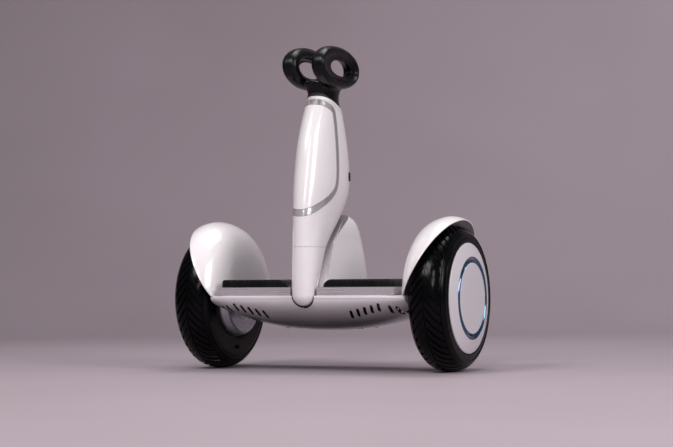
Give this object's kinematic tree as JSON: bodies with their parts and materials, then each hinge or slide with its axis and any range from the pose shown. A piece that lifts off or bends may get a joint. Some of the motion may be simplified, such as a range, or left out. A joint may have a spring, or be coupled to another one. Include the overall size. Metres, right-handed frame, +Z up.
{
  "type": "self balancing robot",
  "caption": "Self-balancing riding robot: boat-shaped hull with foot mats between fat hub-motor wheels, and a leaning steering bar topped by padded loops.",
  "frame": {"origin": "on the ground, midway between the wheels, straight below the wheel axle", "axes": "front faces -Y, the rider's left is +X (the wheel axle's direction), +Z is up"},
  "size_m": [0.5952, 0.3007, 0.633],
  "materials": {
    "white_shell": "gloss",
    "silver_deck": "satin metallic",
    "bright_trim": "polished",
    "fin_trim": "satin silver paint",
    "foot_rubber": "matte",
    "tyre_rubber": "matte",
    "disc_white": "satin",
    "light_blue": "clear gloss",
    "cast_alloy": "cast",
    "drawn_tube": "drawn",
    "pad_foam": "soft matte",
    "black_plastic": "matte",
    "button_silver": "satin",
    "machined_steel": "machined",
    "motor_iron": "varnished copper and iron",
    "brass_insert": "turned",
    "battery_cells": "shrink wrap",
    "circuit_board": "solder mask",
    "lamp_red": "clear gloss"
  },
  "bodies": {
    "chassis": {"chassis_frame": "cast_alloy", "lower_hull": "white_shell", "battery_hatch": "silver_deck", "stand_socket": "brass_insert", "hatch_screws": "machined_steel", "battery_pack": "battery_cells", "control_board": "circuit_board", "heat_sink": "cast_alloy", "deck_plate": "silver_deck", "foot_mat_left": "foot_rubber", "foot_mat_right": "foot_rubber", "foot_sensors": "circuit_board", "fender_left": "white_shell", "fender_right": "white_shell", "center_fin": "white_shell", "fin_trim": "fin_trim", "tail_light": "lamp_red", "charge_port": "black_plastic", "axle_left": "machined_steel", "axle_right": "machined_steel", "axle_clamps": "machined_steel", "motor_stators": "motor_iron", "button_guide": "black_plastic", "pivot_housing": "machined_steel", "pivot_bearings": "machined_steel", "centering_spring": "machined_steel", "lean_sensor": "circuit_board"},
    "wheel_left": {"tyre_left": "tyre_rubber", "rim_left": "cast_alloy", "magnet_ring_left": "motor_iron", "wheel_bearings_left": "machined_steel", "outer_cover_left": "disc_white", "light_ring_left": "light_blue", "hub_cap_left": "disc_white", "inner_cover_left": "cast_alloy", "valve_stem_left": "foot_rubber"},
    "wheel_right": {"tyre_right": "tyre_rubber", "rim_right": "cast_alloy", "magnet_ring_right": "motor_iron", "wheel_bearings_right": "machined_steel", "outer_cover_right": "disc_white", "light_ring_right": "light_blue", "hub_cap_right": "disc_white", "inner_cover_right": "cast_alloy", "valve_stem_right": "foot_rubber"},
    "steering_bar": {"bar_base_shell": "white_shell", "bar_rear_shell": "white_shell", "bar_front_panel": "white_shell", "bar_trim": "bright_trim", "top_collar": "bright_trim", "bar_bracket": "cast_alloy", "slide_tube": "drawn_tube", "pivot_shaft": "machined_steel"},
    "bar_release": {"release_button": "black_plastic"},
    "bar_head": {"height_post": "drawn_tube", "neck": "black_plastic", "loop_pad_left": "pad_foam", "loop_pad_right": "pad_foam"},
    "charge_flap": {"charge_port_cover": "foot_rubber"},
    "power_switch": {"power_button": "button_silver"}
  },
  "joints": [
    {"name": "wheel_left_spin", "type": "hinge", "parent": "chassis", "child": "wheel_left", "pos_m": [0.2505, 0, 0.14], "axis": [1, 0, 0], "continuous": true},
    {"name": "wheel_right_spin", "type": "hinge", "parent": "chassis", "child": "wheel_right", "pos_m": [-0.2505, 0, 0.14], "axis": [1, 0, 0], "continuous": true},
    {"name": "bar_lean", "type": "hinge", "parent": "chassis", "child": "steering_bar", "pos_m": [0, -0.08, 0.147], "axis": [0, 1, 0], "range_deg": [-10, 10], "stiffness_Nm_per_rad": 30},
    {"name": "head_height", "type": "slide", "parent": "steering_bar", "child": "bar_head", "axis": [0, 0, 1], "range_m": [0, 0.08]},
    {"name": "release_press", "type": "slide", "parent": "steering_bar", "child": "bar_release", "axis": [-1, 0, 0], "range_m": [0, 0.0025], "stiffness_N_per_m": 500},
    {"name": "charge_flap_swing", "type": "hinge", "parent": "chassis", "child": "charge_flap", "pos_m": [0.07, 0.1324, 0.137], "axis": [1, 0, 0], "range_deg": [0, 100]},
    {"name": "power_press", "type": "slide", "parent": "chassis", "child": "power_switch", "axis": [0, -1, 0], "range_m": [0, 0.0015], "stiffness_N_per_m": 800}
  ]
}
